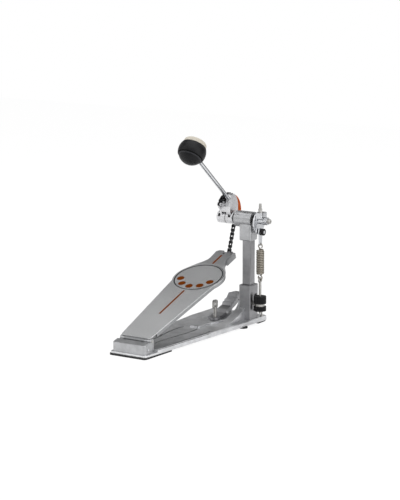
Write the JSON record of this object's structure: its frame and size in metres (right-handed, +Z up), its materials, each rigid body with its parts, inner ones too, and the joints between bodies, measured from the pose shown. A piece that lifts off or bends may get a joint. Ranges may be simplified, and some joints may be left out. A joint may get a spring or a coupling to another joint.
{
  "type": "bass drum pedal",
  "caption": "Chain-driven bass drum pedal: hinged footboard, chain cam on a cross axle, beater on a rod, return spring and hoop clamp on a cast floor plate.",
  "frame": {"origin": "middle of the heel rubber's underside, on the floor", "axes": "+X to the player's right, +Y toward the drum, +Z up"},
  "size_m": [0.1598, 0.387, 0.3786],
  "materials": {
    "rubber_black": "matt moulded rubber",
    "cast_aluminium": "satin sand-cast aluminium",
    "board_aluminium": "fine-blasted satin aluminium",
    "chrome": "polished chrome plate",
    "steel": "turned and zinc-plated steel",
    "dark_steel": "blackened steel",
    "cam_orange": "orange moulded plastic",
    "inlay_rust": "rust-brown grip inlay",
    "spring_steel": "dull spring wire",
    "black_plastic": "black moulded plastic",
    "felt": "pressed off-white wool felt"
  },
  "bodies": {
    "base": {"heel_rubber": "rubber_black", "deck_feet": "rubber_black", "base_plate": "cast_aluminium", "floor_spur": "steel", "heel_block": "cast_aluminium", "heel_screw": "chrome", "hinge_pin": "steel", "post_block": "cast_aluminium", "post_column": "cast_aluminium", "post_head": "cast_aluminium", "shaft_bearings": "dark_steel", "tension_bolt": "steel", "upper_knob": "black_plastic", "lower_knob": "black_plastic", "spring_bracket": "steel", "jaw_pivot": "steel", "jaw_lugs": "cast_aluminium"},
    "footboard": {"footboard": "board_aluminium", "footboard_dots": "inlay_rust", "footboard_stripes": "inlay_rust", "toe_pin": "steel"},
    "axle": {"main_shaft": "steel", "cam_hub": "chrome", "cam": "cam_orange", "beater_holder": "chrome", "set_screws": "dark_steel", "cam_chain_inner": "dark_steel", "cam_chain_outer": "dark_steel", "chain_anchor": "dark_steel", "spring_disc": "chrome", "spring_lever": "chrome", "spring_pin": "black_plastic", "lever_stud": "steel", "shaft_nut": "chrome"},
    "link_upper": {"chain_link_upper": "dark_steel"},
    "link_middle": {"chain_link_middle": "dark_steel"},
    "link_lower": {"chain_link_lower": "dark_steel"},
    "chain_run": {"chain_run_inner": "dark_steel", "chain_run_outer": "dark_steel", "chain_shackle": "dark_steel"},
    "beater": {"beater_rod": "chrome", "beater_head": "black_plastic", "felt_pad": "felt"},
    "spring": {"spring": "spring_steel"},
    "strap": {"spring_strap": "chrome"},
    "jaw": {"clamp_jaw": "cast_aluminium", "jaw_pad": "rubber_black"},
    "screw": {"wing_screw": "steel"}
  },
  "joints": [
    {"name": "axle_turn", "type": "hinge", "parent": "base", "child": "axle", "pos_m": [0.04, 0.2976, 0.205], "axis": [1, 0, 0], "range_deg": [-50, 4], "stiffness_Nm_per_rad": 1.5},
    {"name": "heel_hinge", "type": "hinge", "parent": "base", "child": "footboard", "pos_m": [0, -0.009, 0.027], "axis": [1, 0, 0], "range_deg": [-6.2, 0.6]},
    {"name": "chain_upper", "type": "hinge", "parent": "axle", "child": "link_upper", "pos_m": [0.004, 0.32687, 0.23015], "axis": [1, 0, 0], "range_deg": [-1.6, 16.4]},
    {"name": "chain_middle", "type": "hinge", "parent": "link_upper", "child": "link_middle", "pos_m": [0.004, 0.32914, 0.22248], "axis": [1, 0, 0], "range_deg": [-1.6, 16.4]},
    {"name": "chain_lower", "type": "hinge", "parent": "link_middle", "child": "link_lower", "pos_m": [0.004, 0.3295, 0.21449], "axis": [1, 0, 0], "range_deg": [-1.6, 16.4]},
    {"name": "chain_swing", "type": "hinge", "parent": "link_lower", "child": "chain_run", "pos_m": [0.004, 0.32793, 0.20664], "axis": [1, 0, 0], "range_deg": [-0.8, 6.4]},
    {"name": "beater_height", "type": "slide", "parent": "axle", "child": "beater", "axis": [0, -0.7738, 0.6334], "range_m": [-0.008, 0.018]},
    {"name": "spring_tilt", "type": "hinge", "parent": "base", "child": "spring", "pos_m": [0.0792, 0.295, 0.0903], "axis": [1, 0, 0], "range_deg": [-1, 9.4]},
    {"name": "spring_stretch", "type": "slide", "parent": "spring", "child": "strap", "axis": [0, 0, 1], "range_m": [-0.001, 0.0098], "deforming": ["spring"]},
    {"name": "wing_turn", "type": "hinge", "parent": "base", "child": "screw", "pos_m": [0.012, 0.24, 0.03], "axis": [0, 0, 1], "range_deg": [-360, 0]},
    {"name": "jaw_tilt", "type": "hinge", "parent": "base", "child": "jaw", "pos_m": [0.007, 0.276, 0.023], "axis": [1, 0, 0], "range_deg": [-6.1, 0]}
  ],
  "couplings": [
    {"joint": "heel_hinge", "follows": "axle_turn", "ratio": 0.11874},
    {"joint": "chain_upper", "follows": "axle_turn", "ratio": -0.32},
    {"joint": "chain_middle", "follows": "axle_turn", "ratio": -0.32},
    {"joint": "chain_lower", "follows": "axle_turn", "ratio": -0.32},
    {"joint": "chain_swing", "follows": "axle_turn", "ratio": -0.12},
    {"joint": "spring_tilt", "follows": "axle_turn", "ratio": -0.18},
    {"joint": "spring_stretch", "follows": "axle_turn", "m_per_rad": -0.01077},
    {"joint": "jaw_tilt", "follows": "wing_turn", "ratio": 0.016667}
  ]
}
